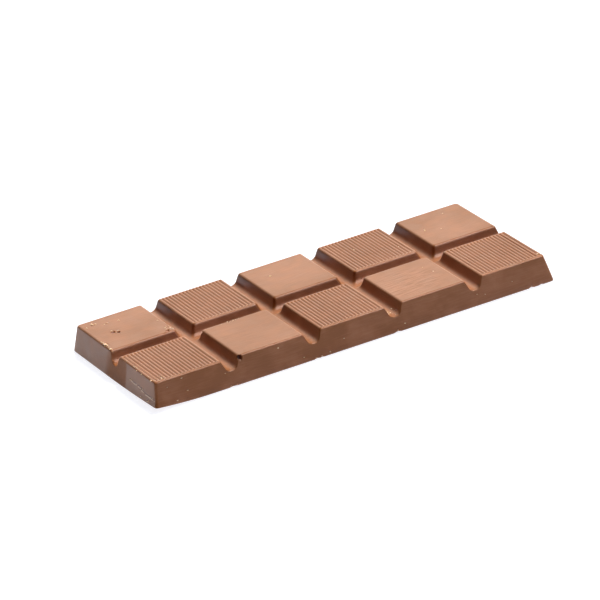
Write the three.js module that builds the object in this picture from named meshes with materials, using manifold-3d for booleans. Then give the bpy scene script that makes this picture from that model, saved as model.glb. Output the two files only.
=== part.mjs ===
// A moulded milk chocolate bar: five blocks long and two wide, ribbed and plain blocks in
// turn, parted by rounded snapping grooves. It is one solid piece.
// Millimetres, +Z up. The long side runs along X and the flat underside lies on Z = 0.
// The origin is the middle of the underside.

import * as THREE from 'three';
import { mergeVertices } from 'three/addons/utils/BufferGeometryUtils.js';
import Module from 'manifold-3d';

// The whole bar. Its outline is measured where the walls would meet the underside.
const BAR_LENGTH = 118;
const BAR_WIDTH = 52;
const BAR_HEIGHT = 7.5;
const BAR_CORNER_RADIUS = 0.8; // the same from the foot to the rim
const OUTER_DRAFT = 11.5; // degrees that the outer walls lean in
const OUTER_RIM_RADIUS = 0.6;
const FOOT_RADIUS = 0.3;

// The blocks and the grooves between them.
const COLUMNS = 5;
const ROWS = 2;
const COLUMN_PITCH = 24; // from one cross groove to the next
const GROOVE_HALF_WIDTH = 2.6; // at the top, before the rims are rounded
const GROOVE_DEPTH = 3.2;
const GROOVE_DRAFT = 21; // degrees that the groove walls lean
const GROOVE_FLOOR_RADIUS = 1.8;
const BLOCK_RIM_RADIUS = 0.7;
const BLOCK_CORNER_RADIUS = 0.8; // the same from the groove floor to the rim

// The ribs are what the valleys leave standing. The valleys run across the bar.
const VALLEY_PITCH = 1;
const VALLEYS_PER_BLOCK = 18;
const VALLEY_HALF_WIDTH = 0.3; // at the top of the block
const VALLEY_DEPTH = 0.3;
const VALLEY_END_MARGIN = 0.2; // from the edge of the block to the valley's end
// A valley's section from its bottom up: shares of the half width and of the depth.
const VALLEY_SECTION = [[0.25, 1], [0.75, 0.6], [1, 0]];

// How finely the curves are cut into flats.
const BAR_CORNER_STEPS = 5;
const BLOCK_CORNER_STEPS = 3;
const EDGE_STEPS = 3;
const FLOOR_STEPS = 4;

// Working allowances for clean joins and cuts.
const OVERLAP = 6; // how far a block or the floor slab runs out past the bar's wall
const SKIRT = 1; // how far a block reaches down into the floor slab
const FLOOR_LIFT = 0.01; // the slab's top over the lowest ring of the rounded floor
const CUT_CLEARANCE = 0.2; // how far a valley cutter stands out of the block's top
const CUT_FLARE = 1.3; // how much wider it is there

const radians = THREE.MathUtils.degToRad;

// How far the outer wall has leaned in where it would meet the top.
const WALL_INSET = BAR_HEIGHT * Math.tan(radians(OUTER_DRAFT));

// Points [inset, z] of an arc, with the angle counted up from straight out of the solid.
function arc(centreInset, centreZ, radius, from, to, steps, hollow = false) {
  const side = hollow ? -1 : 1;
  const points = [];
  for (let step = 0; step <= steps; step += 1) {
    const angle = radians(THREE.MathUtils.lerp(from, to, step / steps));
    points.push([
      centreInset - side * radius * Math.cos(angle),
      centreZ + side * radius * Math.sin(angle),
    ]);
  }
  return points;
}

// Distance from a sharp corner to where a rounding of this radius starts on the flat,
// for a wall that leans by the draft. A negative draft stands for the foot's corner.
function tangentLength(radius, draft) {
  return radius * Math.tan(radians(45 - draft / 2));
}

// The outer wall from the underside to the top: rounded foot, leaning wall, rounded rim.
function outerProfile() {
  const footInset = tangentLength(FOOT_RADIUS, -OUTER_DRAFT);
  const rimInset = WALL_INSET + tangentLength(OUTER_RIM_RADIUS, OUTER_DRAFT);
  return [
    ...arc(footInset, FOOT_RADIUS, FOOT_RADIUS, -90, OUTER_DRAFT, EDGE_STEPS),
    ...arc(rimInset, BAR_HEIGHT - OUTER_RIM_RADIUS, OUTER_RIM_RADIUS, OUTER_DRAFT, 90, EDGE_STEPS),
  ];
}

// A block's side from inside the floor slab to the top: skirt, hollow floor rounding,
// leaning groove wall and rounded rim. Insets count from the block's sharp top outline.
function blockProfile() {
  const floorZ = BAR_HEIGHT - GROOVE_DEPTH;
  const wallReach = GROOVE_DEPTH * Math.tan(radians(GROOVE_DRAFT));
  const floorInset = -wallReach - tangentLength(GROOVE_FLOOR_RADIUS, GROOVE_DRAFT);
  const floorArc = arc(
    floorInset, floorZ + GROOVE_FLOOR_RADIUS, GROOVE_FLOOR_RADIUS, 90, GROOVE_DRAFT, FLOOR_STEPS, true,
  );
  const rimInset = tangentLength(BLOCK_RIM_RADIUS, GROOVE_DRAFT);
  const rimZ = BAR_HEIGHT - BLOCK_RIM_RADIUS;
  return [
    [floorInset, floorZ - SKIRT],
    ...floorArc,
    ...arc(rimInset, rimZ, BLOCK_RIM_RADIUS, GROOVE_DRAFT, 90, EDGE_STEPS),
  ];
}

// A rectangle with rounded corners drawn inside box = { x0, x1, y0, y1 }, counter-clockwise.
function outline(box, inset, corner, cornerSteps) {
  const x0 = box.x0 + inset + corner;
  const x1 = box.x1 - inset - corner;
  const y0 = box.y0 + inset + corner;
  const y1 = box.y1 - inset - corner;
  const centres = [[x1, y0], [x1, y1], [x0, y1], [x0, y0]];
  const steps = corner > 0 ? cornerSteps : 0;
  return centres.flatMap(([x, y], quarter) => {
    const points = [];
    for (let step = 0; step <= steps; step += 1) {
      const angle = (quarter - 1 + step / Math.max(steps, 1)) * Math.PI / 2;
      points.push([x + corner * Math.cos(angle), y + corner * Math.sin(angle)]);
    }
    return points;
  });
}

// A closed skin through rings of equal length, lowest ring first. The ends are flat fans.
function loft(rings) {
  const count = rings[0].length;
  const indices = [];
  for (let ring = 0; ring + 1 < rings.length; ring += 1) {
    for (let point = 0; point < count; point += 1) {
      const next = (point + 1) % count;
      const low = ring * count;
      const high = low + count;
      indices.push(low + point, low + next, high + next);
      indices.push(low + point, high + next, high + point);
    }
  }
  const top = (rings.length - 1) * count;
  for (let point = 1; point + 1 < count; point += 1) {
    indices.push(0, point + 1, point);
    indices.push(top, top + point, top + point + 1);
  }
  const geometry = new THREE.BufferGeometry();
  geometry.setAttribute('position', new THREE.Float32BufferAttribute(rings.flat(2), 3));
  geometry.setIndex(indices);
  return geometry;
}

// A solid with the box's rounded outline, carried up along a profile of [inset, z] points.
function profiledSolid(box, profile, corner, cornerSteps) {
  return loft(profile.map(([inset, z]) => (
    outline(box, inset, corner, cornerSteps).map(([x, y]) => [x, y, z])
  )));
}

const wasm = await Module();
wasm.setup();

function toSolid(geometry) {
  const bare = geometry.clone();
  bare.deleteAttribute('normal');
  bare.deleteAttribute('uv');
  const merged = mergeVertices(bare);
  return new wasm.Manifold(new wasm.Mesh({
    numProp: 3,
    vertProperties: new Float32Array(merged.attributes.position.array),
    triVerts: new Uint32Array(merged.index.array),
  }));
}

function toGeometry(solid) {
  const mesh = solid.getMesh();
  const geometry = new THREE.BufferGeometry();
  geometry.setAttribute('position', new THREE.BufferAttribute(new Float32Array(mesh.vertProperties), 3));
  geometry.setIndex(new THREE.BufferAttribute(new Uint32Array(mesh.triVerts), 1));
  geometry.computeVertexNormals();
  return geometry;
}

function join(solids) {
  return solids.reduce((all, solid) => all.add(solid));
}

// The sharp top outline of a block. Where the block ends at the bar's own wall, the side
// lies this far outside the bar's outline, or inside it if the number is negative.
function blockBox(column, row, outer) {
  const low = (column - COLUMNS / 2) * COLUMN_PITCH;
  const high = low + COLUMN_PITCH;
  const back = row === ROWS - 1;
  return {
    x0: column === 0 ? -BAR_LENGTH / 2 - outer : low + GROOVE_HALF_WIDTH,
    x1: column === COLUMNS - 1 ? BAR_LENGTH / 2 + outer : high - GROOVE_HALF_WIDTH,
    y0: back ? GROOVE_HALF_WIDTH : -BAR_WIDTH / 2 - outer,
    y1: back ? BAR_WIDTH / 2 + outer : -GROOVE_HALF_WIDTH,
  };
}

// The bar without its grooves.
function outerBody() {
  const box = { x0: -BAR_LENGTH / 2, x1: BAR_LENGTH / 2, y0: -BAR_WIDTH / 2, y1: BAR_WIDTH / 2 };
  return toSolid(profiledSolid(box, outerProfile(), BAR_CORNER_RADIUS, BAR_CORNER_STEPS));
}

// Everything below the groove floors, larger than the bar all round.
function floorSlab() {
  const top = BAR_HEIGHT - GROOVE_DEPTH + FLOOR_LIFT;
  const slab = new THREE.BoxGeometry(BAR_LENGTH + 2 * OVERLAP, BAR_WIDTH + 2 * OVERLAP, top + SKIRT);
  slab.translate(0, 0, (top - SKIRT) / 2);
  return toSolid(slab);
}

function block(column, row) {
  const box = blockBox(column, row, OVERLAP);
  return toSolid(profiledSolid(box, blockProfile(), BLOCK_CORNER_RADIUS, BLOCK_CORNER_STEPS));
}

// One valley: a narrow trough with a rounded bottom and ends that ramp up.
function valley(centreX, y0, y1) {
  const levels = VALLEY_SECTION.map(([width, depth]) => [width, -depth * VALLEY_DEPTH]);
  const rings = [...levels, [CUT_FLARE, CUT_CLEARANCE]].map(([width, rise]) => {
    const halfWidth = VALLEY_HALF_WIDTH * width;
    const ramp = VALLEY_HALF_WIDTH - halfWidth;
    const box = { x0: centreX - halfWidth, x1: centreX + halfWidth, y0: y0 + ramp, y1: y1 - ramp };
    return outline(box, 0, 0, 0).map(([x, y]) => [x, y, BAR_HEIGHT + rise]);
  });
  return toSolid(loft(rings));
}

// The valleys of one block, in the middle of its top.
function blockValleys(column, row) {
  const box = blockBox(column, row, -WALL_INSET);
  const middle = (box.x0 + box.x1) / 2;
  const first = middle - VALLEY_PITCH * (VALLEYS_PER_BLOCK - 1) / 2;
  return Array.from({ length: VALLEYS_PER_BLOCK }, (_, index) => (
    valley(first + index * VALLEY_PITCH, box.y0 + VALLEY_END_MARGIN, box.y1 - VALLEY_END_MARGIN)
  ));
}

function chocolateBar() {
  const blocks = [];
  const valleys = [];
  for (let column = 0; column < COLUMNS; column += 1) {
    for (let row = 0; row < ROWS; row += 1) {
      blocks.push(block(column, row));
      const ribbed = (column + row) % 2 === 0;
      if (ribbed) {
        valleys.push(...blockValleys(column, row));
      }
    }
  }
  const body = join([floorSlab(), ...blocks]).intersect(outerBody());
  return toGeometry(body.subtract(join(valleys)));
}

const chocolate = new THREE.MeshStandardMaterial({ color: 0xa9714f, roughness: 0.45, metalness: 0 });

const bar = new THREE.Mesh(chocolateBar(), chocolate);
bar.name = 'chocolate_bar';

const group = new THREE.Group();
group.add(bar);

export default group;
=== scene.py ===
"""A moulded milk chocolate bar on a plain pale floor, in the frame of its CAD part."""
import math

import bpy
import numpy as np
from bpy.props import FloatProperty, FloatVectorProperty, IntProperty, PointerProperty
from mathutils import Matrix, Vector


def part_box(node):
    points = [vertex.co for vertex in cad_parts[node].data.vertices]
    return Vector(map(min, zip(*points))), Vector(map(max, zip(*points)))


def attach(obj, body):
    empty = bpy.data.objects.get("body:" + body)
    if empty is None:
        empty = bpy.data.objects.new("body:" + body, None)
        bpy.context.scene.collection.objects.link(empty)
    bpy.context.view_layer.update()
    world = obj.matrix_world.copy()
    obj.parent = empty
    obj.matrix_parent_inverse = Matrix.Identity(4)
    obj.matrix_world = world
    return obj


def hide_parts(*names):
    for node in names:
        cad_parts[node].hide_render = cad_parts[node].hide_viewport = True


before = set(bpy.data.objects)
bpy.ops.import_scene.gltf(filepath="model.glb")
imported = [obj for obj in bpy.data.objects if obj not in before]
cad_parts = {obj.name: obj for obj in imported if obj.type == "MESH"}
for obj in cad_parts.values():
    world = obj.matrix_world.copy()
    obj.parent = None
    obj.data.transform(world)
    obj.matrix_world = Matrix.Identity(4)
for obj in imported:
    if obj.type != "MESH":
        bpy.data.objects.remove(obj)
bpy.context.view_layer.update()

bl_info = {
    "name": "Moulded chocolate bar",
    "version": (1, 0, 0),
    "blender": (4, 5, 0),
    "location": "View3D > Sidebar > Chocolate",
    "description": "A ribbed and plain block chocolate bar with its crumbs, floor, lights and camera",
    "category": "Add Mesh",
}

BAR_NODE = "chocolate_bar"
MM = 0.001  # the lengths below are written in millimetres and kept in metres
COLUMNS = 5
ROWS = 2
PAST_WALL = 6 * MM  # how far the outer blocks run past the wall, which trims them
FOOT_TRIM = 0.146 * MM  # what the foot's rounding takes off the sharp length and width

BAR_LOW, BAR_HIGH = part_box(BAR_NODE)


# ---------------------------------------------------------------- settings

class BarShape(bpy.types.PropertyGroup):
    """Sizes of the moulded bar."""

    length: FloatProperty(
        name="Length", description="Along X, where the walls would meet the underside",
        default=BAR_HIGH.x - BAR_LOW.x + FOOT_TRIM, unit="LENGTH")
    width: FloatProperty(
        name="Width", description="Along Y, where the walls would meet the underside",
        default=BAR_HIGH.y - BAR_LOW.y + FOOT_TRIM, unit="LENGTH")
    height: FloatProperty(
        name="Height", description="From the underside to the block tops",
        default=BAR_HIGH.z, unit="LENGTH")
    corner_radius: FloatProperty(
        name="Corner radius", description="Rounding of the bar's corners, seen from above",
        default=0.8 * MM, unit="LENGTH")
    outer_draft: FloatProperty(
        name="Outer draft", description="How far the outer walls lean in",
        default=math.radians(11.5), subtype="ANGLE")
    outer_rim: FloatProperty(
        name="Outer rim radius", description="Rounding where the outer wall meets the top",
        default=0.6 * MM, unit="LENGTH")
    foot_radius: FloatProperty(
        name="Foot radius", description="Rounding where the outer wall meets the underside",
        default=0.3 * MM, unit="LENGTH")
    column_pitch: FloatProperty(
        name="Column pitch", description="From one cross groove to the next",
        default=24 * MM, unit="LENGTH")
    groove_half: FloatProperty(
        name="Groove half width", description="At the top, before the rims are rounded",
        default=2.6 * MM, unit="LENGTH")
    groove_depth: FloatProperty(
        name="Groove depth", description="From the block tops to the groove floor",
        default=3.2 * MM, unit="LENGTH")
    groove_draft: FloatProperty(
        name="Groove draft", description="How far the groove walls lean",
        default=math.radians(21), subtype="ANGLE")
    floor_radius: FloatProperty(
        name="Groove floor radius", description="Hollow rounding between groove wall and floor",
        default=1.8 * MM, unit="LENGTH")
    block_rim: FloatProperty(
        name="Block rim radius", description="Rounding between block top and groove wall",
        default=0.7 * MM, unit="LENGTH")
    block_corner: FloatProperty(
        name="Block corner radius", description="Rounding of a block's corners, seen from above",
        default=0.8 * MM, unit="LENGTH")
    rib_pitch: FloatProperty(
        name="Rib pitch", description="From one rib to the next",
        default=1.0 * MM, unit="LENGTH")
    rib_valleys: IntProperty(
        name="Valleys", description="Valleys across one ribbed block", default=18)
    rib_depth: FloatProperty(
        name="Rib depth", description="From a rib's crest to the valley beside it",
        default=0.37 * MM, unit="LENGTH")
    rib_margin: FloatProperty(
        name="Rib margin", description="From the block's edge to the end of the valleys",
        default=0.2 * MM, unit="LENGTH")
    rib_ramp: FloatProperty(
        name="Rib ramp", description="Over which a valley deepens, in from its end",
        default=1.0 * MM, unit="LENGTH")
    unevenness: FloatProperty(
        name="Unevenness", description="Height of the slow waves in the tops and walls",
        default=0.03 * MM, unit="LENGTH")


class ChocolateFinish(bpy.types.PropertyGroup):
    """Colours and roughness of the chocolate and its crumbs, with its painted shade and highlight."""

    colour: FloatVectorProperty(
        name="Chocolate", description="Colour of the moulded surface",
        default=(0.210, 0.071, 0.019), size=3, subtype="COLOR", min=0, max=1)
    # Pale: real faint streaks, plus painted highlight on the rib crests and painted light on the
    # groove floors.
    pale: FloatVectorProperty(
        name="Pale parts", description="Colour of the faint streaks, rib crests and groove floors",
        default=(0.31, 0.125, 0.058), size=3, subtype="COLOR", min=0, max=1)
    # Painted shade: the colour that darkens pits, air bubbles, rib valleys and scratches, where shade
    # falls.
    hollow: FloatVectorProperty(
        name="Dark parts", description="Colour inside pits, air bubbles and rib valleys",
        default=(0.08, 0.010, 0.003), size=3, subtype="COLOR", min=0, max=1)
    crumb: FloatVectorProperty(
        name="Crumbs", description="Colour of dry crumbs and flakes",
        default=(0.70, 0.49, 0.32), size=3, subtype="COLOR", min=0, max=1)
    roughness: FloatProperty(
        name="Roughness", description="Roughness of the moulded surface",
        default=0.36, min=0, max=1)


class StageLook(bpy.types.PropertyGroup):
    """Floor, lights and camera."""

    azimuth: FloatProperty(
        name="Azimuth", description="Camera's turn about Z, from looking along +Y",
        default=math.radians(-23.5), subtype="ANGLE")
    elevation: FloatProperty(
        name="Elevation", description="Camera's height angle",
        default=math.radians(23.1), subtype="ANGLE")
    roll: FloatProperty(
        name="Roll", description="Camera's tilt about its own axis",
        default=math.radians(-8.4), subtype="ANGLE")
    distance: FloatProperty(
        name="Distance", description="Camera to the point it looks at",
        default=1419 * MM, unit="LENGTH")
    lens: FloatProperty(
        name="Lens", description="Focal length on a 36 mm sensor, in millimetres",
        default=321.6)
    floor_size: FloatProperty(
        name="Floor size", description="Side of the square floor", default=6.0, unit="LENGTH")
    floor_colour: FloatVectorProperty(
        name="Floor", description="Colour of the plain floor",
        default=(0.30, 0.305, 0.315), size=3, subtype="COLOR", min=0, max=1)


# ---------------------------------------------------------------- shape of the bar

VALLEY_POWER = 2.2  # the higher it is, the narrower the valleys between the ribs


def arc_heights(depth, start, centre_z, radius, side):
    """Height over a circular arc: centre height plus or minus the root of r^2 - (s - start)^2."""
    run = np.clip(depth - start, -radius, radius)
    return centre_z + side * np.sqrt(radius ** 2 - run ** 2)


def tangent(radius, draft):
    """Distance from a sharp corner to where its rounding starts: r tan(45 deg - draft / 2)."""
    return radius * math.tan(math.pi / 4 - draft / 2)


def block_boxes(shape):
    """Sharp top outlines of the ten blocks as rows (x0, x1, y0, y1), row by row."""
    column = np.arange(COLUMNS)
    low = (column - COLUMNS / 2) * shape.column_pitch
    x0 = low + shape.groove_half
    x1 = low + shape.column_pitch - shape.groove_half
    x0[0] = -shape.length / 2 - PAST_WALL
    x1[-1] = shape.length / 2 + PAST_WALL
    outer = shape.width / 2 + PAST_WALL
    front = np.stack([x0, x1, np.full(COLUMNS, -outer), np.full(COLUMNS, -shape.groove_half)], 1)
    back = np.stack([x0, x1, np.full(COLUMNS, shape.groove_half), np.full(COLUMNS, outer)], 1)
    return np.concatenate([front, back])


def inside_depth(x, y, box, radius):
    """How far in from the box the rounded rectangle through (x, y) lies, negative outside it.

    All these rectangles have the same corner radius r. With u and v the distances outside the
    rectangle that the corner centres span, the depth is (sqrt(2 r^2 - (u - v)^2) - u - v) / 2
    at a corner, where |u - v| < r, and r minus the larger of u and v along the sides.
    """
    x0, x1, y0, y1 = box
    u = np.abs(x - (x0 + x1) / 2) - (x1 - x0) / 2 + radius
    v = np.abs(y - (y0 + y1) / 2) - (y1 - y0) / 2 + radius
    corner = (np.sqrt(np.clip(2 * radius ** 2 - (u - v) ** 2, 0, None)) - u - v) / 2
    return np.where(np.abs(u - v) < radius, corner, radius - np.maximum(u, v))


def groove_height(x, y, shape):
    """Height of the blocks and grooves at (x, y), before the outer wall trims them.

    The depth d into the nearest block gives the height: flat top, circular rim, wall of slope
    cot(draft), hollow circular rounding, flat groove floor.
    """
    depth = np.max([inside_depth(x, y, box, shape.block_corner) for box in block_boxes(shape)], 0)
    draft = shape.groove_draft
    floor_z = shape.height - shape.groove_depth
    rim_start = tangent(shape.block_rim, draft)
    rim_end = rim_start - shape.block_rim * math.cos(draft)
    wall = shape.height + depth / math.tan(draft)
    hollow_start = -shape.groove_depth * math.tan(draft) - tangent(shape.floor_radius, draft)
    hollow_end = hollow_start + shape.floor_radius * math.cos(draft)
    rim = arc_heights(depth, rim_start, shape.height - shape.block_rim, shape.block_rim, 1)
    hollow = arc_heights(depth, hollow_start, floor_z + shape.floor_radius, shape.floor_radius, -1)
    return np.select(
        [depth >= rim_start, depth >= rim_end, depth >= hollow_end, depth >= hollow_start],
        [shape.height, rim, wall, hollow], floor_z)


def top_spans(shape):
    """Sharp top outlines of the ten blocks as block_boxes gives them, but ending at the wall."""
    wall_inset = shape.height * math.tan(shape.outer_draft)
    half_x = shape.length / 2 - wall_inset
    half_y = shape.width / 2 - wall_inset
    reach = np.array((half_x, half_x, half_y, half_y))
    return np.clip(block_boxes(shape), -reach, reach)


def is_ribbed(number):
    """True for the blocks whose column and row add up to an even number."""
    row, column = divmod(number, COLUMNS)
    return (row + column) % 2 == 0


def rib_relief(x, y, shape):
    """Depth of the ribs' valleys at (x, y), 0 outside the ribbed blocks.

    Along x it is a raised cosine of the rib pitch to a power, which makes the crests broad
    and the valleys narrow. Along y it fades in over the ramp at each end, as f^2 (3 - 2 f).
    """
    relief = np.zeros_like(x)
    for number, (x0, x1, y0, y1) in enumerate(top_spans(shape)):
        if not is_ribbed(number):
            continue
        across = (x - (x0 + x1) / 2) / shape.rib_pitch + shape.rib_valleys / 2
        wave = (0.5 - 0.5 * np.cos(2 * np.pi * across)) ** VALLEY_POWER
        wave = np.where((across > 0) & (across < shape.rib_valleys), wave, 0)
        from_end = (y1 - y0) / 2 - shape.rib_margin - np.abs(y - (y0 + y1) / 2)
        fade = np.clip(from_end / shape.rib_ramp, 0, 1)
        relief += shape.rib_depth * wave * fade * fade * (3 - 2 * fade)
    return relief


# Where the rib crests get painted highlight and the valleys painted shade.
def ribbed_area(x, y, shape):
    """1 on the tops of the ribbed blocks and 0 elsewhere, with a run-out at their sides."""
    area = np.zeros_like(x)
    for number, (x0, x1, y0, y1) in enumerate(top_spans(shape)):
        if is_ribbed(number):
            inside = np.minimum(np.minimum(x - x0, x1 - x), np.minimum(y - y0, y1 - y))
            area += np.clip(inside / shape.rib_ramp, 0, 1)
    return area


def waves(x, y, length, seed):
    """Smooth noise, mostly from -1 to 1.

    It is a quarter of the sum of eight sine waves of 0.6 to 1.5 times the given length, whose
    angles and phases are drawn from the seed.
    """
    rng = np.random.default_rng(seed)
    total = np.zeros_like(x)
    for angle, phase, stretch in rng.uniform((0, 0, 0.6), (np.pi, 2 * np.pi, 1.5), (8, 3)):
        along = x * math.cos(angle) + y * math.sin(angle)
        total += np.sin(2 * np.pi * along / (length * stretch) + phase)
    return total / 4


# ---------------------------------------------------------------- wear of the bar

# Open pits in the tops: x, y, radius, depth, all in mm.
TOP_PITS = (
    (-51.9, 13.0, 0.50, 0.50),
    (-50.8, 12.1, 0.45, 0.50),
    (-40.4, 3.5, 0.42, 0.45),
    (-25.8, -3.1, 0.40, 0.15),
    (-56.4, 6.4, 0.45, 0.20),
)
# Air bubbles open in a wall: x, y, z of the middle, radius and depth in mm.
WALL_BUBBLES = (
    (-33.2, -24.55, 7.0, 0.62, 1.10),
)
# Which way a bubble's bowl is pushed in, as shares of its depth along x, y and z.
BUBBLE_PUSH = (0.10, 0.95, -0.25)
BUBBLE_LIP = 0.14 * MM
# Chips along the front foot: x of the middle, half width, depth and height in mm.
FOOT_CHIPS = (
    (-36.5, 1.2, 0.12, 0.4),
    (-12.0, 0.9, 0.16, 0.4),
    (-10.6, 0.6, 0.12, 0.3),
    (11.8, 1.0, 0.20, 0.5),
    (52.0, 0.7, 0.24, 0.5),
    (55.0, 0.6, 0.14, 0.4),
)
# The front left foot corner is worn away upwards: height at the corner, reach along the
# front, and how much further it reaches along the left side.
CORNER_WEAR = (0.95 * MM, 16 * MM, 1.8)
PIT_LIP = 0.45  # height of a pit's lip, as a share of the pit's depth


def top_pits(x, y):
    """Depth of the open pits at (x, y).

    Each is a steep bowl, 1 - rho^4, with a lip raised behind it: a Gaussian ring at
    rho = 1.3, strongest towards +Y and none towards -Y.
    """
    total = np.zeros_like(x)
    for px, py, radius, depth in TOP_PITS:
        dx, dy = x - px * MM, y - py * MM
        rho = np.hypot(dx, dy) / (radius * MM)
        lip = PIT_LIP * np.exp(-((rho - 1.3) / 0.28) ** 2) * np.clip(dy / (radius * MM), 0, 1)
        total += depth * MM * (np.clip(1 - rho ** 4, 0, None) - lip)
    return total


# ---------------------------------------------------------------- the bar's mesh

TOP_INSET = 2.5 * MM  # from the bar's outline in to where the top's grid ends
SAMPLES_PER_RIB = 5
CORNER_LINES = np.array((0, 1 / 3, 2 / 3))  # shares of the corner radius
# Grid lines beside a groove, counted in mm from its middle. The fine ones, where the ribs
# begin, are beside the long groove only.
GROOVE_LINES = (0, 0.3, 0.6, 0.9, 1.2, 1.5, 1.7, 1.9, 2.1, 2.3, 2.45, 2.6, 2.75, 2.9, 3.1)
FINE_LINES = (3.3, 3.5, 3.7, 3.9, 4.2, 4.6)
PLATEAU_START = 5.6 * MM  # from the long groove's middle to the evenly spaced lines
PLATEAU_MARGIN = 1.9 * MM  # from the evenly spaced lines to the edge of the grid
PLATEAU_LINES = 15
RIM_LINES = (2.7, 3.0, 3.6)  # counted in mm from the bar's outline
PIT_LINES = np.arange(10.9, 14.2, 0.2) * MM  # rows across the two deepest pits
SAME_LINE = 7  # decimals, in metres, to which lines are told apart
RIM_RINGS = 6
WALL_RINGS = 13  # counting the ends of the rim and the foot
FOOT_RINGS = 5
# Rings under the bar: how far in from the outline and how high the hollow is there, in mm.
UNDER_RINGS = ((2, 0.0), (6, 0.02), (11, 0.04), (17, 0.05))
NOTCH_RIM = 0.6  # rim radius where a groove runs out, as a share of the outer rim radius
FLOOR_PAINTED_LIGHT = 0.5  # painted light that pales the groove floors, as a share of a rib crest's painted highlight
FLOOR_LIGHT_FADE = 0.8 * MM  # height over the groove floor at which that painted light has faded out


def mirrored(values):
    """The values and their negatives."""
    return np.unique(np.concatenate([values, -np.asarray(values)]))


def line_positions(shape):
    """Grid lines along x and along y, closest where the surface turns quickest.

    Across the ribs they are evenly spaced, a whole number to a rib.
    """
    half_x = shape.length / 2 - TOP_INSET
    half_y = shape.width / 2 - TOP_INSET
    core_x = half_x - shape.corner_radius
    core_y = half_y - shape.corner_radius
    near_groove = mirrored(np.array(GROOVE_LINES) * MM)
    grooves = (np.arange(1, COLUMNS) - COLUMNS / 2) * shape.column_pitch
    lines_x = [groove + near_groove for groove in grooves]
    half_ribs = shape.rib_valleys * shape.rib_pitch / 2
    for x0, x1 in top_spans(shape)[:COLUMNS, :2]:
        count = shape.rib_valleys * SAMPLES_PER_RIB + 1
        lines_x.append((x0 + x1) / 2 + np.linspace(-half_ribs, half_ribs, count))
    lines_x = np.concatenate(lines_x)
    corner_x = core_x + CORNER_LINES * shape.corner_radius
    lines_x = lines_x[np.abs(lines_x) < core_x - 0.05 * MM]
    lines_x = np.concatenate([lines_x, corner_x, -corner_x])
    lines_x = np.unique(np.round(lines_x, SAME_LINE))

    long_groove = np.array(GROOVE_LINES + FINE_LINES) * MM
    plateau = np.linspace(PLATEAU_START, half_y - PLATEAU_MARGIN, PLATEAU_LINES)
    rims = shape.width / 2 - np.array(RIM_LINES) * MM
    corner_y = core_y + CORNER_LINES * shape.corner_radius
    lines_y = mirrored(np.concatenate([long_groove, plateau, rims, corner_y]))
    clear_of_pits = (lines_y < PIT_LINES[0]) | (lines_y > PIT_LINES[-1])
    lines_y = np.concatenate([lines_y[clear_of_pits], PIT_LINES])
    lines_y = np.unique(np.round(lines_y, SAME_LINE))
    lines_x = np.concatenate([[-half_x], lines_x, [half_x]])
    lines_y = np.concatenate([[-half_y], lines_y, [half_y]])
    return lines_x, lines_y


def top_grid(shape):
    """Plan positions of the top's grid, with its corners bent into quarter circles.

    In each corner square the unit coordinates (a, b) become
    (a sqrt(1 - b^2 / 2), b sqrt(1 - a^2 / 2)), which carries the square's edge to the circle.
    Returns x and y, and the way each edge point moves when the outline grows by one unit.
    """
    lines_x, lines_y = line_positions(shape)
    radius = shape.corner_radius
    x, y = np.meshgrid(lines_x, lines_y)
    core_x = lines_x[-1] - radius
    core_y = lines_y[-1] - radius
    a = np.clip((np.abs(x) - core_x) / radius, 0, 1)
    b = np.clip((np.abs(y) - core_y) / radius, 0, 1)
    grow_x = np.where(np.abs(x) > core_x - 0.01 * MM, np.sign(x), 0)
    grow_y = np.where(np.abs(y) > core_y - 0.01 * MM, np.sign(y), 0)
    x = np.where(a > 0, np.sign(x) * (core_x + radius * a * np.sqrt(1 - b ** 2 / 2)), x)
    y = np.where(b > 0, np.sign(y) * (core_y + radius * b * np.sqrt(1 - a ** 2 / 2)), y)
    return x, y, grow_x, grow_y


def edge_loop(shape_of_grid):
    """Grid indices once round the edge, counter-clockwise from the lowest corner."""
    rows, columns = shape_of_grid
    index = np.arange(rows * columns).reshape(rows, columns)
    return np.concatenate([index[0, :], index[1:, -1], index[-1, -2::-1], index[-2:0:-1, 0]])


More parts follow.
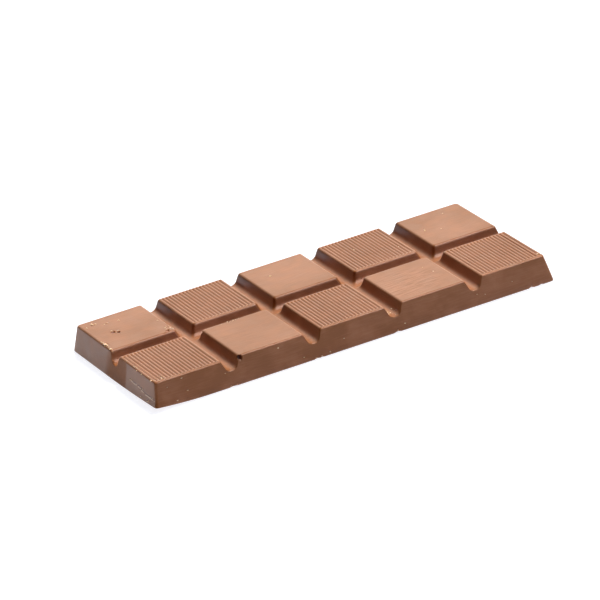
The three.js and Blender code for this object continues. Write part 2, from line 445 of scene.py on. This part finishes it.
def wall_rings(x, y, grow_x, grow_y, shape):
    """Rings of the outer wall, from the top grid's edge down and under, as (x, y, z) arrays.

    Each point of the edge has a local crest height: the block top, or the groove where one
    runs out through the wall. Its column of points follows the groove surface out to the
    rim, a circular rim at the crest, the leaning wall, a circular foot and the underside.
    """
    draft = shape.outer_draft
    slope = math.tan(draft)

    def place(inset):
        out = TOP_INSET - inset
        return x + grow_x * out, y + grow_y * out

    at_rim = place(shape.height * slope + tangent(shape.outer_rim, draft))
    crest = groove_height(*at_rim, shape) - rib_relief(*at_rim, shape)
    share = (crest - crest.min()) / (shape.height - crest.min())
    rim = shape.outer_rim * (NOTCH_RIM + (1 - NOTCH_RIM) * share)
    rim_inset = crest * slope + tangent(rim, draft)
    rim_z = crest - rim
    half_way = place((TOP_INSET + rim_inset) / 2)
    rings = [(*half_way, groove_height(*half_way, shape) - rib_relief(*half_way, shape))]
    for angle in np.linspace(math.pi / 2, draft, RIM_RINGS):
        rings.append((*place(rim_inset - rim * math.cos(angle)), rim_z + rim * math.sin(angle)))
    foot = shape.foot_radius
    foot_inset = foot * math.tan(math.pi / 4 + draft / 2)
    wall_top = rim_z + rim * math.sin(draft)
    wall_foot = foot + foot * math.sin(draft)
    for part in np.linspace(0, 1, WALL_RINGS)[1:-1] ** 1.5:
        z = wall_top + (wall_foot - wall_top) * part
        rings.append((*place(z * slope), z))
    for angle in np.linspace(draft, -math.pi / 2, FOOT_RINGS):
        inset = foot_inset - foot * math.cos(angle) + 0 * crest
        rings.append((*place(inset), foot + foot * math.sin(angle) + 0 * crest))
    foot_x, foot_y = place(foot_inset)
    for inset, rise in UNDER_RINGS:
        shrink_x = 1 - inset * MM / (shape.length / 2)
        shrink_y = 1 - inset * MM / (shape.width / 2)
        rings.append((foot_x * shrink_x, foot_y * shrink_y, rise * MM + 0 * crest))
    return np.array(rings)


def worn(points, shape):
    """The points after bubbles, chips, wear and waves, and how deep in a bubble each one is,
    which sets the bubble's painted shade.

    A bubble is a round bowl, sqrt(1 - rho^2), with a Gaussian lip at rho = 1.35. A chip is a
    parabola along the foot, times a straight fall with height. The corner's wear falls off as
    (1 - distance)^1.8 and is gone 3 mm up. Slow waves move the walls in and out, growing over
    the lowest 2 mm.
    """
    x, y, z = points.T.copy()
    hollow = np.zeros_like(x)
    for cx, cy, cz, radius, depth in WALL_BUBBLES:
        rho = np.sqrt((x - cx * MM) ** 2 + (y - cy * MM) ** 2 + (z - cz * MM) ** 2) / (radius * MM)
        push = depth * MM * np.sqrt(np.clip(1 - rho ** 2, 0, None))
        lip = BUBBLE_LIP * np.exp(-((rho - 1.35) / 0.25) ** 2)
        x += BUBBLE_PUSH[0] * push
        y += BUBBLE_PUSH[1] * push - lip
        z += BUBBLE_PUSH[2] * push
        # Painted shade: the material darkens the points deep in a bubble.
        hollow = np.maximum(hollow, np.clip(5 - 4.6 * rho, 0, 1))
    for cx, half, depth, height in FOOT_CHIPS:
        along = np.clip(1 - ((x - cx * MM) / (half * MM)) ** 2, 0, 1)
        up = np.clip(1 - z / (height * MM), 0, 1)
        front = y < 1.5 * MM - shape.width / 2
        bite = depth * MM * np.where(front, along * up, 0)
        y += bite
        z += 0.8 * bite
    lift, reach, further = CORNER_WEAR
    distance = np.hypot(x + shape.length / 2, (y + shape.width / 2) / further) / reach
    z += lift * np.clip(1 - distance, 0, 1) ** 1.8 * np.clip(1 - z / (3 * MM), 0, 1) ** 2
    above = np.clip(z / (2 * MM), 0, 1) * shape.unevenness
    x += above * waves(y, z, 22 * MM, 3)
    y += above * waves(x, z, 26 * MM, 5)
    return np.stack([x, y, z], 1), hollow


def smooth_mesh(name, points, faces):
    """A mesh with smooth shading."""
    mesh = bpy.data.meshes.new(name)
    mesh.from_pydata(points.tolist(), [], faces)
    mesh.polygons.foreach_set("use_smooth", np.ones(len(mesh.polygons), bool))
    mesh.update()
    return mesh


def quads(ring_a, ring_b):
    """Faces between two closed rings of vertex numbers, a above b, facing outwards."""
    next_a, next_b = np.roll(ring_a, -1), np.roll(ring_b, -1)
    return np.stack([ring_a, ring_b, next_b, next_a], 1)


def bar_mesh(shape):
    """The whole bar as one closed mesh: top grid, wall rings and a flat face underneath.

    The attribute hollow is 1 inside pits and bubbles, where the material paints shade. The
    attribute crest is 1 on the rib crests and -1 in the valleys between them, and part of 1 on the
    groove floors: the material paints highlight on the crests, shade in the valleys and light on
    the floors.
    """
    x, y, grow_x, grow_y = top_grid(shape)
    z = groove_height(x, y, shape)
    on_top = np.clip(1 - (shape.height - z) / (0.3 * MM), 0, 1)
    pits = top_pits(x, y)
    swell = shape.unevenness * (waves(x, y, 18 * MM, 7) - 1) / 2
    z = z - rib_relief(x, y, shape) + on_top * (swell - pits)
    loop = edge_loop(x.shape)
    rings = wall_rings(x.flat[loop], y.flat[loop], grow_x.flat[loop], grow_y.flat[loop], shape)
    top_points = np.stack([x.ravel(), y.ravel(), z.ravel()], 1)
    ring_points = rings.transpose(0, 2, 1).reshape(-1, 3)
    points, hollow = worn(np.concatenate([top_points, ring_points]), shape)
    # Painted shade in the open pits, in full 0.2 mm down.
    hollow[:x.size] = np.maximum(hollow[:x.size], np.clip(pits.ravel() / (0.2 * MM), 0, 1))
    # Painted highlight on the rib crests and painted shade in their valleys.
    share = rib_relief(points[:, 0], points[:, 1], shape) / shape.rib_depth
    crest = ribbed_area(points[:, 0], points[:, 1], shape) * np.clip(1 - 2 * share, -1, 1)
    crest *= points[:, 2] > shape.height - 1.5 * shape.rib_depth
    # Painted light that pales the groove floors.
    over_floor = z.ravel() - (shape.height - shape.groove_depth)
    crest[:x.size] += FLOOR_PAINTED_LIGHT * np.clip(1 - over_floor / FLOOR_LIGHT_FADE, 0, 1)

    index = np.arange(x.size).reshape(x.shape)
    corners = (index[:-1, :-1], index[:-1, 1:], index[1:, 1:], index[1:, :-1])
    faces = [np.stack(corners, -1).reshape(-1, 4)]
    above = loop
    for number in range(len(rings)):
        below = x.size + number * len(loop) + np.arange(len(loop))
        faces.append(quads(above, below))
        above = below
    underside = above[::-1]
    mesh = smooth_mesh(
        "chocolate_bar_surface", points, np.concatenate(faces).tolist() + [underside.tolist()])
    for name, values in (("hollow", hollow), ("crest", crest)):
        attribute = mesh.attributes.new(name, "FLOAT", "POINT")
        attribute.data.foreach_set("value", values.astype(np.float32))
    return mesh


# ---------------------------------------------------------------- crumbs

# Crumbs on the block tops, on the front wall and on the left wall: two places along the
# surface and a size, all in mm. On a top the places are x and y; on the front wall x and
# height; on the left wall y and height.
TOP_CRUMBS = (
    (-54.2, 21.6, 1.0), (-53.3, 21.3, 0.6), (-56.2, 20.6, 0.6), (-50.5, 19.9, 0.7),
    (-47.5, 19.1, 0.6), (-51.6, 19.4, 0.45), (-57.0, 7.1, 1.1), (-56.8, 6.3, 0.7),
    (-57.2, 3.4, 0.7), (-51.9, 14.0, 0.7), (-50.6, 12.9, 0.7), (-51.3, 12.4, 0.5),
    (-39.7, 11.5, 0.5), (-39.2, 4.7, 0.6), (-38.8, 3.9, 0.5),
    (-40.3, 5.6, 0.4), (-26.0, -2.8, 0.5), (-3.9, 16.1, 0.6), (21.6, 16.4, 0.5),
    (56.7, -22.4, 0.9), (13.2, -20.6, 0.5), (11.2, -22.8, 0.45), (-36.4, -6.8, 0.5),
    (41.6, 13.2, 0.5), (42.0, 14.2, 0.4), (45.6, 11.3, 0.4), (50.9, 20.4, 0.4),
    (29.4, -8.4, 0.4), (30.3, -12.8, 0.4), (31.6, 9.4, 0.4),
)
FRONT_CRUMBS = (
    (-52.6, 1.3, 0.7), (-50.1, 6.5, 0.45), (-49.3, 3.0, 0.6), (-38.0, 4.1, 0.45),
    (-54.5, 5.4, 0.35), (-22.2, 6.1, 0.65), (-15.7, 1.6, 0.5), (-8.2, 0.9, 0.6),
    (-3.6, 3.1, 0.45), (14.2, 1.8, 0.45), (36.1, 3.1, 0.45), (38.4, 2.4, 0.4),
    (46.8, 3.4, 0.35), (-37.3, 0.5, 0.6), (-35.5, 0.4, 0.5), (-12.4, 0.5, 0.6),
    (-10.8, 0.5, 0.6), (11.8, 0.6, 0.6), (52.0, 0.6, 0.5),
)
LEFT_CRUMBS = (
    (-10.2, 3.8, 0.7), (-17.4, 3.6, 0.5), (-13.4, 7.2, 0.55), (-16.5, 7.2, 0.5),
    (-22.2, 7.3, 0.7), (-16.7, 1.2, 0.55), (-21.2, 1.6, 0.7), (-23.6, 3.0, 0.4),
)
# Patches of fine dust on the tops: x, y, spread along x, spread along y, in mm, and count.
DUST = (
    (-55.3, -22.6, 1.3, 1.5, 44),
    (-39.3, 4.6, 0.8, 1.3, 16),
    (-57.0, 7.0, 0.2, 5.0, 26),
    (-57.1, -14.0, 0.2, 8.0, 12),
    (12.0, -21.5, 0.7, 1.6, 18),
    (-25.0, -3.2, 2.0, 0.3, 12),
)
DUST_SIZES = (0.14, 0.30)  # smallest and largest, in mm
TOP_REACH = np.array((57.3, 24.3)) * MM  # how far from the middle a crumb on a top may lie


def dust_rows():
    """Rows (x, y, size) in mm of the dust, drawn about the middle of each patch."""
    rng = np.random.default_rng(11)
    rows = []
    for cx, cy, wide, deep, count in DUST:
        spots = rng.normal((cx, cy), (0.6 * wide, 0.6 * deep), (count, 2))
        rows.append(np.concatenate([spots, rng.uniform(*DUST_SIZES, (count, 1))], 1))
    return np.concatenate(rows)


def crumb_places(shape):
    """Middle and radius of every crumb, resting on the surface under it."""
    slope = math.tan(shape.outer_draft)
    top = np.array(TOP_CRUMBS) * MM
    front = np.array(FRONT_CRUMBS) * MM
    left = np.array(LEFT_CRUMBS) * MM
    flat = np.concatenate([top, dust_rows() * MM])
    flat[:, :2] = np.clip(flat[:, :2], -TOP_REACH, TOP_REACH)
    height = groove_height(flat[:, 0], flat[:, 1], shape)
    height -= rib_relief(flat[:, 0], flat[:, 1], shape)
    on_top = np.stack([flat[:, 0], flat[:, 1], height], 1)
    on_front = np.stack([front[:, 0], front[:, 1] * slope - shape.width / 2, front[:, 1]], 1)
    on_left = np.stack([left[:, 1] * slope - shape.length / 2, left[:, 0], left[:, 1]], 1)
    places = np.concatenate([on_top, on_front, on_left])
    sizes = np.concatenate([flat[:, 2], front[:, 2], left[:, 2]]) / 2
    return places, sizes


def crumb_mesh(shape):
    """All crumbs as one mesh of lumpy balls.

    Each ball is a grid of latitude t and longitude s on a unit sphere. Its radius is 1 +
    sin t (0.25 sin(3 s + p) sin(2 t + q) + 0.15 cos(5 s + r)). It is stretched unevenly, most
    along the surface, and turned about Z.
    """
    places, sizes = crumb_places(shape)
    rng = np.random.default_rng(23)
    count = len(places)
    around, up = 9, 6
    s = np.linspace(0, 2 * np.pi, around, endpoint=False)
    t = np.linspace(0, np.pi, up + 1)[1:-1]
    tt, ss = np.meshgrid(t, s, indexing="ij")
    unit = np.stack([np.sin(tt) * np.cos(ss), np.sin(tt) * np.sin(ss), np.cos(tt)], -1)
    unit = np.concatenate([unit.reshape(-1, 3), [[0, 0, 1], [0, 0, -1]]])
    longitude = np.arctan2(unit[:, 1], unit[:, 0])
    latitude = np.arccos(unit[:, 2])
    p, q, r = rng.uniform(0, 2 * np.pi, (3, count, 1))
    broad = 0.25 * np.sin(3 * longitude + p) * np.sin(2 * latitude + q)
    fine = 0.15 * np.cos(5 * longitude + r)
    lump = 1 + np.sin(latitude) * (broad + fine)
    stretch = rng.uniform((0.9, 0.6, 0.3), (1.5, 1.0, 0.5), (count, 3))
    turn = rng.uniform(0, np.pi, count)
    body = unit[None] * lump[:, :, None] * stretch[:, None, :] * sizes[:, None, None]
    cos, sin = np.cos(turn)[:, None], np.sin(turn)[:, None]
    x = cos * body[:, :, 0] - sin * body[:, :, 1]
    y = sin * body[:, :, 0] + cos * body[:, :, 1]
    points = np.stack([x, y, body[:, :, 2]], -1) + places[:, None, :]

    rows = up - 1
    index = np.arange(rows * around).reshape(rows, around)
    side = np.roll(index, -1, 1)
    bands = np.stack([index[:-1], index[1:], side[1:], side[:-1]], -1).reshape(-1, 4)
    north, south = rows * around, rows * around + 1
    caps_n = np.stack([np.full(around, north), index[0], side[0]], 1)
    caps_s = np.stack([np.full(around, south), side[-1], index[-1]], 1)
    start = (np.arange(count) * len(unit))[:, None, None]
    faces = (bands[None] + start).reshape(-1, 4).tolist()
    faces += (caps_n[None] + start).reshape(-1, 3).tolist()
    faces += (caps_s[None] + start).reshape(-1, 3).tolist()
    return smooth_mesh("crumbs_surface", points.reshape(-1, 3), faces)


# ---------------------------------------------------------------- materials

class Nodes:
    """A small helper that adds and links shader nodes."""

    def __init__(self, owner):
        """Empties the node tree of a material or world."""
        owner.use_nodes = True
        self.tree = owner.node_tree
        self.tree.nodes.clear()

    def add(self, kind, inputs=None, **settings):
        """A new node with its settings and inputs, which are values or other nodes' outputs."""
        node = self.tree.nodes.new(kind)
        for name, value in settings.items():
            setattr(node, name, value)
        for name, value in (inputs or {}).items():
            self.fill(node.inputs[name], value)
        return node

    def noise(self, vector, scale, detail=3.0, roughness=0.5):
        """Noise about 0.5, with this many waves to the metre."""
        node = self.add("ShaderNodeTexNoise", {
            "Vector": vector, "Scale": scale, "Detail": detail, "Roughness": roughness})
        return node.outputs["Fac"]

    def spread(self, value, low, high, out_low=0.0, out_high=1.0):
        """A value carried from one range to another and held at its ends."""
        node = self.add("ShaderNodeMapRange", {
            "Value": value, "From Min": low, "From Max": high,
            "To Min": out_low, "To Max": out_high})
        return node.outputs["Result"]

    def mix(self, factor, first, second):
        """The first colour at factor 0 and the second at factor 1."""
        node = self.add("ShaderNodeMix", data_type="RGBA")
        for number, value in ((0, factor), (6, first), (7, second)):
            self.fill(node.inputs[number], value)
        return node.outputs[2]

    def maths(self, operation, first, second):
        """The result of one sum on two values."""
        node = self.add("ShaderNodeMath", operation=operation)
        self.fill(node.inputs[0], first)
        self.fill(node.inputs[1], second)
        return node.outputs[0]

    def split(self, vector):
        """The x, y and z of a vector."""
        return self.add("ShaderNodeSeparateXYZ", {"Vector": vector}).outputs

    def fill(self, socket, value):
        """Links an output to the socket, or sets the socket to a constant."""
        if isinstance(value, bpy.types.NodeSocket):
            self.tree.links.new(value, socket)
        else:
            socket.default_value = value


# Scratches along the left wall: y at both ends and height at both ends, in mm.
SCRATCHES = (
    (-9.8, -18.5, 3.9, 3.5),
    (-16.0, -25.0, 3.2, 2.8),
)
SCRATCH_EDGE = 0.38 * MM  # from a scratch down to its pale edge
SCRATCH_SIDE = (0.24 * MM, 0.10 * MM)  # from its middle to where it starts and is full
SCRATCH_END = 0.6  # mm over which it fades at each end
LEFT_WALL = (-57.3 * MM, -57.6 * MM)  # x where marks on the left wall start and are full
SCUFF_PLACE = (22 * MM, -15 * MM, 7.5 * MM)
SCUFF_REACH = (10 * MM, 4 * MM)  # from there to where the scuffs start and are full


def scratches(nodes, place):
    """Masks of the scratches in the left wall and of their pale lower edges.

    The distance to each line wavers by noise, and a second noise breaks the lines up.
    """
    x, y, z = nodes.split(place)
    on_wall = nodes.spread(x, *LEFT_WALL)
    waver = nodes.spread(nodes.noise(place, 400), 0, 1, -0.5 * MM, 0.5 * MM)
    broken = nodes.spread(nodes.noise(place, 1100, detail=2), 0.40, 0.48)
    masks = []
    for offset in (0.0, SCRATCH_EDGE):
        total = 0.0
        for start, end, high, low in SCRATCHES:
            line = nodes.spread(y, start * MM, end * MM, high * MM - offset, low * MM - offset)
            above = nodes.maths("ADD", nodes.maths("SUBTRACT", z, line), waver)
            near = nodes.spread(nodes.maths("ABSOLUTE", above, 0), *SCRATCH_SIDE)
            first = nodes.spread(y, start * MM, (start - SCRATCH_END) * MM)
            last = nodes.spread(y, end * MM, (end + SCRATCH_END) * MM)
            part = nodes.maths("MULTIPLY", near, nodes.maths("MULTIPLY", first, last))
            total = nodes.maths("MAXIMUM", part, total)
        masks.append(nodes.maths("MULTIPLY", total, nodes.maths("MULTIPLY", broken, on_wall)))
    return masks


def rubbed_band(nodes, place):
    """Mask of the band of the left wall, next to the long groove, that was rubbed matt."""
    x, y, z = nodes.split(place)
    on_wall = nodes.spread(x, *LEFT_WALL)
    slant = nodes.maths("ADD", y, nodes.maths("MULTIPLY", z, 0.25))
    back = nodes.spread(slant, 6.5 * MM, 3.5 * MM)
    front = nodes.spread(y, -7.6 * MM, -6.6 * MM)
    return nodes.maths("MULTIPLY", on_wall, nodes.maths("MULTIPLY", back, front))


def scuffs(nodes, place, streak):
    """Stronger streaks, from -1 to 1, in the middle of the front row's right plain block."""
    apart = nodes.add("ShaderNodeVectorMath", operation="DISTANCE")
    nodes.fill(apart.inputs[0], place)
    nodes.fill(apart.inputs[1], SCUFF_PLACE)
    near = nodes.spread(apart.outputs["Value"], *SCUFF_REACH)
    return nodes.maths("MULTIPLY", near, nodes.spread(streak, 0.38, 0.62, -1, 1))


def chocolate_material(finish):
    """Satin moulded chocolate: fine streaks along the bar, blotches, pits and scratches.

    Painted shade darkens the pits, bubbles, scratches and rib valleys; painted highlight pales the
    rib crests, and painted light the groove floors.
    """
    material = bpy.data.materials.new("milk_chocolate")
    nodes = Nodes(material)
    place = nodes.add("ShaderNodeTexCoord").outputs["Object"]
    streak_place = nodes.add("ShaderNodeMapping", {"Vector": place, "Scale": (0.06, 1, 1)})
    streak = nodes.noise(streak_place.outputs["Vector"], 3500, detail=4, roughness=0.6)
    blotch = nodes.noise(place, 260, detail=3)
    cloud = nodes.noise(place, 70, detail=2)
    grain = nodes.noise(place, 5200, detail=2, roughness=0.6)
    hollow = nodes.add("ShaderNodeAttribute", attribute_name="hollow").outputs["Fac"]
    crest = nodes.add("ShaderNodeAttribute", attribute_name="crest").outputs["Fac"]
    scratch, scratch_edge = scratches(nodes, place)
    rubbed = rubbed_band(nodes, place)

    streaks = nodes.spread(streak, 0.40, 0.75, 0, 0.45)
    pale = nodes.maths("ADD", streaks, nodes.spread(blotch, 0.45, 0.75, 0, 0.45))
    pale = nodes.maths("ADD", pale, nodes.spread(cloud, 0.35, 0.65, -0.25, 0.35))
    # The crest attribute adds painted highlight on the rib crests and painted light on the groove
    # floors.
    pale = nodes.maths("ADD", pale, nodes.spread(crest, 0, 1, 0, 0.9))
    pale = nodes.maths("ADD", pale, scuffs(nodes, place, streak))
    colour = nodes.mix(nodes.spread(pale, 0, 1), (*finish.colour, 1), (*finish.pale, 1))
    # Painted shade in the rib valleys, where the crest attribute falls below 0.
    colour = nodes.mix(nodes.spread(crest, 0, -1, 0, 0.6), colour, (*finish.hollow, 1))
    colour = nodes.mix(nodes.maths("MULTIPLY", scratch_edge, 0.7), colour, (*finish.crumb, 1))
    # Painted shade inside the pits, bubbles and scratches; the scratches' dip is also bumped in.
    painted_shade = nodes.maths("MAXIMUM", hollow, nodes.maths("MULTIPLY", scratch, 0.8))
    colour = nodes.mix(painted_shade, colour, (*finish.hollow, 1))
    rough = nodes.spread(blotch, 0.3, 0.7, finish.roughness - 0.05, finish.roughness + 0.07)
    rough = nodes.maths("ADD", rough, nodes.maths("MULTIPLY", rubbed, 0.3))
    height = nodes.maths("MULTIPLY", streak, 0.6)
    height = nodes.maths("ADD", height, nodes.maths("MULTIPLY", grain, 0.4))
    height = nodes.maths("SUBTRACT", height, nodes.maths("MULTIPLY", scratch, 3.0))
    bump = nodes.add("ShaderNodeBump", {"Height": height, "Strength": 0.35, "Distance": 0.03 * MM})
    shader = nodes.add("ShaderNodeBsdfPrincipled", {
        "Base Color": colour, "Roughness": rough, "Normal": bump.outputs["Normal"], "IOR": 1.46,
        "Specular IOR Level": 0.4, "Subsurface Weight": 0.03, "Subsurface Radius": (1.0, 0.4, 0.2),
        "Subsurface Scale": 0.8 * MM})
    nodes.add("ShaderNodeOutputMaterial", {"Surface": shader.outputs["BSDF"]})
    return material


def crumb_material(finish):
    """Dry broken chocolate: paler, matt and a little mottled."""
    material = bpy.data.materials.new("dry_chocolate")
    nodes = Nodes(material)
    place = nodes.add("ShaderNodeTexCoord").outputs["Object"]
    mottle = nodes.noise(place, 4000, detail=2)
    colour = nodes.mix(nodes.spread(mottle, 0.5, 0.8), (*finish.crumb, 1), (*finish.pale, 1))
    bump = nodes.add("ShaderNodeBump", {"Height": mottle, "Strength": 0.4, "Distance": 0.04 * MM})
    shader = nodes.add("ShaderNodeBsdfPrincipled", {
        "Base Color": colour, "Roughness": 0.6, "Normal": bump.outputs["Normal"],
        "Subsurface Weight": 0.5, "Subsurface Radius": (1.0, 0.6, 0.3),
        "Subsurface Scale": 0.6 * MM})
    nodes.add("ShaderNodeOutputMaterial", {"Surface": shader.outputs["BSDF"]})
    return material


def floor_material(look):
    """Plain pale floor with a trace of mottling.

    It glows as painted light, which lights the bar from below and lightens its cast shadow.
    """
    material = bpy.data.materials.new("pale_floor")
    nodes = Nodes(material)
    place = nodes.add("ShaderNodeTexCoord").outputs["Object"]
    mottle = nodes.noise(place, 6, detail=2)
    shade = tuple(0.985 * part for part in look.floor_colour)
    colour = nodes.mix(mottle, (*look.floor_colour, 1), (*shade, 1))
    shader = nodes.add("ShaderNodeBsdfPrincipled", {
        "Base Color": colour, "Roughness": 0.8, "Specular IOR Level": 0.2,
        "Emission Color": (0.98, 0.99, 1.04, 1), "Emission Strength": 0.85})
    nodes.add("ShaderNodeOutputMaterial", {"Surface": shader.outputs["BSDF"]})
    return material


# ---------------------------------------------------------------- stage

CAMERA_AIM = (-2.06, 2.89, 4.29)  # mm
KEY_PLACE = (1.35, 1.01, 2.56)
KEY_SIZE = 0.8
KEY_WATTS = 163.0
# Soft panels of the surroundings: the way to the panel's middle, the cosines to it at which
# the light starts and is full, the strength there and the colour.
BEHIND_PANEL = ((0.35, 0.85, 0.35), 0.7, 0.93, 1.95, (1.0, 0.97, 0.88))
FRONT_PANEL = ((0.75, -0.5, 0.55), 0.6, 1.0, 0.68, (0.96, 0.90, 1.0))
GLOSS_PANEL = ((0.37, -0.38, 0.85), 0.82, 0.97, 12.0, (1.0, 1.0, 1.0))


def add_object(name, data):
    """A new object at the origin, in the scene's collection."""
    item = bpy.data.objects.new(name, data)
    bpy.context.scene.collection.objects.link(item)
    return item


def plane_mesh(name, side):
    """A square grid of four by four faces on Z = 0, facing up."""
    line = np.linspace(-side / 2, side / 2, 5)
    x, y = np.meshgrid(line, line)
    points = np.stack([x.ravel(), y.ravel(), 0 * x.ravel()], 1)
    index = np.arange(25).reshape(5, 5)
    corners = (index[:-1, :-1], index[:-1, 1:], index[1:, 1:], index[1:, :-1])
    faces = np.stack(corners, -1).reshape(-1, 4)
    mesh = bpy.data.meshes.new(name)
    mesh.from_pydata(points.tolist(), [], faces.tolist())
    return mesh


def soft_light(name, place, aim, size, watts):
    """A square area light at a place, facing the point it aims at, with no gloss of its own."""
    data = bpy.data.lights.new(name, "AREA")
    data.shape = "SQUARE"
    data.size = size
    data.energy = watts
    lamp = add_object(name, data)
    lamp.location = place
    lamp.rotation_euler = (Vector(aim) - Vector(place)).to_track_quat("-Z", "Y").to_euler()
    lamp.visible_glossy = False


def studio_world():
    """Dark surroundings with three soft panels, pale where the camera sees them."""
    world = bpy.data.worlds.new("studio")
    bpy.context.scene.world = world
    nodes = Nodes(world)
    direction = nodes.add("ShaderNodeTexCoord").outputs["Generated"]
    rays = nodes.add("ShaderNodeLightPath").outputs

    def panel(towards, low, high, strength, colour, share=1.0):
        """Light that rises over the directions whose cosine to the middle is low to high."""
        cosine = nodes.add("ShaderNodeVectorMath", operation="DOT_PRODUCT")
        nodes.fill(cosine.inputs[0], direction)
        nodes.fill(cosine.inputs[1], Vector(towards).normalized())
        glow = nodes.spread(cosine.outputs["Value"], low, high, 0.0, strength)
        glow = nodes.maths("MULTIPLY", glow, share)
        light = nodes.add("ShaderNodeBackground", {"Color": (*colour, 1), "Strength": glow})
        return light.outputs[0]

    def together(first, second):
        """The sum of two lights."""
        both = nodes.add("ShaderNodeAddShader")
        nodes.fill(both.inputs[0], first)
        nodes.fill(both.inputs[1], second)
        return both.outputs[0]

    behind = panel(*BEHIND_PANEL)
    before = panel(*FRONT_PANEL)
    above = panel(*GLOSS_PANEL, rays["Is Glossy Ray"])
    seen = nodes.add("ShaderNodeBackground", {"Color": (0.96, 0.965, 0.97, 1), "Strength": 1.0})
    both = nodes.add("ShaderNodeMixShader", {"Fac": rays["Is Camera Ray"]})
    nodes.fill(both.inputs[1], together(together(behind, before), above))
    nodes.fill(both.inputs[2], seen.outputs[0])
    nodes.add("ShaderNodeOutputWorld", {"Surface": both.outputs[0]})


def camera_matrix(look, aim):
    """World matrix of a camera that looks at a point from the given angles, then rolls."""
    azimuth, elevation = look.azimuth, look.elevation
    back = Vector((
        math.sin(azimuth) * math.cos(elevation),
        -math.cos(azimuth) * math.cos(elevation),
        math.sin(elevation)))
    right = Vector((0, 0, 1)).cross(back).normalized()
    up = back.cross(right)
    turn = Matrix((right, up, back)).transposed() @ Matrix.Rotation(look.roll, 3, "Z")
    return Matrix.Translation(aim + back * look.distance) @ turn.to_4x4()


# ---------------------------------------------------------------- operators

def bar_settings(context):
    """The scene's settings for the bar's shape and finish."""
    return context.scene.chocolate_shape, context.scene.chocolate_finish


class MakeBar(bpy.types.Operator):
    """Makes the moulded bar in place of its CAD solid."""

    bl_idname = "chocolate.make_bar"
    bl_label = "Make the bar"

    def execute(self, context):
        shape, finish = bar_settings(context)
        bar = add_object("moulded_bar", bar_mesh(shape))
        bar.data.materials.append(chocolate_material(finish))
        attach(bar, "root")
        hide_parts(BAR_NODE)
        return {"FINISHED"}


class MakeCrumbs(bpy.types.Operator):
    """Makes the loose crumbs and dust that lie on the bar."""

    bl_idname = "chocolate.make_crumbs"
    bl_label = "Make the crumbs"

    def execute(self, context):
        shape, finish = bar_settings(context)
        crumbs = add_object("crumbs", crumb_mesh(shape))
        crumbs.data.materials.append(crumb_material(finish))
        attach(crumbs, "root")
        return {"FINISHED"}


class MakeStage(bpy.types.Operator):
    """Makes the floor, the lights, the surroundings and the camera."""

    bl_idname = "chocolate.make_stage"
    bl_label = "Make the stage"

    def execute(self, context):
        look = context.scene.chocolate_stage
        floor = add_object("floor", plane_mesh("floor_surface", look.floor_size))
        floor.data.materials.append(floor_material(look))
        studio_world()
        soft_light("key_light", KEY_PLACE, (0, 0, BAR_HIGH.z / 2), KEY_SIZE, KEY_WATTS)
        data = bpy.data.cameras.new("camera")
        data.sensor_width = 36
        data.lens = look.lens
        data.clip_start = 0.01
        data.clip_end = 50
        camera = add_object("camera", data)
        camera.matrix_world = camera_matrix(look, Vector(CAMERA_AIM) * MM)
        context.scene.camera = camera
        context.scene.view_settings.view_transform = "Standard"
        return {"FINISHED"}


class ChocolatePanel(bpy.types.Panel):
    """The bar's settings and the buttons that make it."""

    bl_idname = "VIEW3D_PT_chocolate"
    bl_label = "Chocolate bar"
    bl_space_type = "VIEW_3D"
    bl_region_type = "UI"
    bl_category = "Chocolate"

    def draw(self, context):
        for group in ("chocolate_shape", "chocolate_finish", "chocolate_stage"):
            box = self.layout.box()
            settings = getattr(context.scene, group)
            for name in settings.bl_rna.properties.keys():
                if name not in ("rna_type", "name"):
                    box.prop(settings, name)
        for operator in (MakeBar, MakeCrumbs, MakeStage):
            self.layout.operator(operator.bl_idname)


CLASSES = (BarShape, ChocolateFinish, StageLook, MakeBar, MakeCrumbs, MakeStage, ChocolatePanel)


def register():
    """Adds the classes and the scene's settings."""
    for item in CLASSES:
        bpy.utils.register_class(item)
    bpy.types.Scene.chocolate_shape = PointerProperty(type=BarShape)
    bpy.types.Scene.chocolate_finish = PointerProperty(type=ChocolateFinish)
    bpy.types.Scene.chocolate_stage = PointerProperty(type=StageLook)


def unregister():
    """Takes away what register added."""
    del bpy.types.Scene.chocolate_stage
    del bpy.types.Scene.chocolate_finish
    del bpy.types.Scene.chocolate_shape
    for item in reversed(CLASSES):
        bpy.utils.unregister_class(item)


def main():
    """Makes every piece."""
    register()
    bpy.ops.chocolate.make_bar()
    bpy.ops.chocolate.make_crumbs()
    bpy.ops.chocolate.make_stage()


if __name__ == "__main__":
    main()
